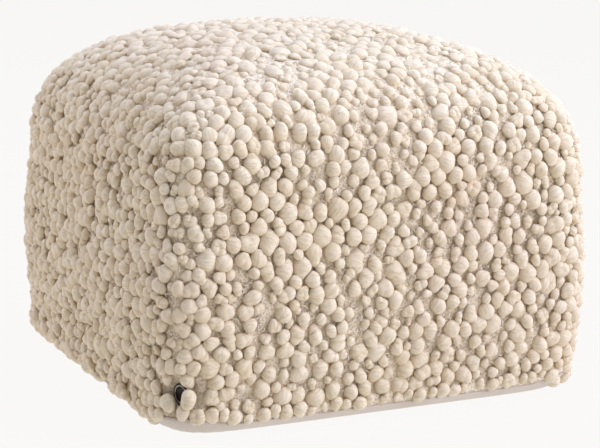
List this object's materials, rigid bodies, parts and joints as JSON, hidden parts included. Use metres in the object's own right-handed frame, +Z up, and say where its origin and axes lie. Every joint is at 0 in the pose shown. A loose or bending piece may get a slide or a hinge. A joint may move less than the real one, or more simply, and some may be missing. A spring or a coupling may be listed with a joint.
{
  "type": "woven wool pouf",
  "caption": "Soft square wool pouf with a domed top, raised wool bobbles over the top and sides, a plain cloth base and a small round badge near one lower corner.",
  "frame": {"origin": "middle of the flat underside, on the floor", "axes": "+Z up; -Y is the front, which faces the camera most; -X is the left side; the badge is at the front left corner"},
  "size_m": [0.5009, 0.5008, 0.3823],
  "materials": {
    "wool": "undyed cream wool roving in soft raised bobbles over a fuzzy curled ground, matt",
    "cotton": "smooth pale greyish-cream cotton canvas in plain weave, matt",
    "enamel": "black, satin, with a thin pale ring and no mark"
  },
  "bodies": {
    "root": {"wool_cover": "wool", "base_cloth": "cotton", "badge": "enamel"}
  },
  "joints": []
}
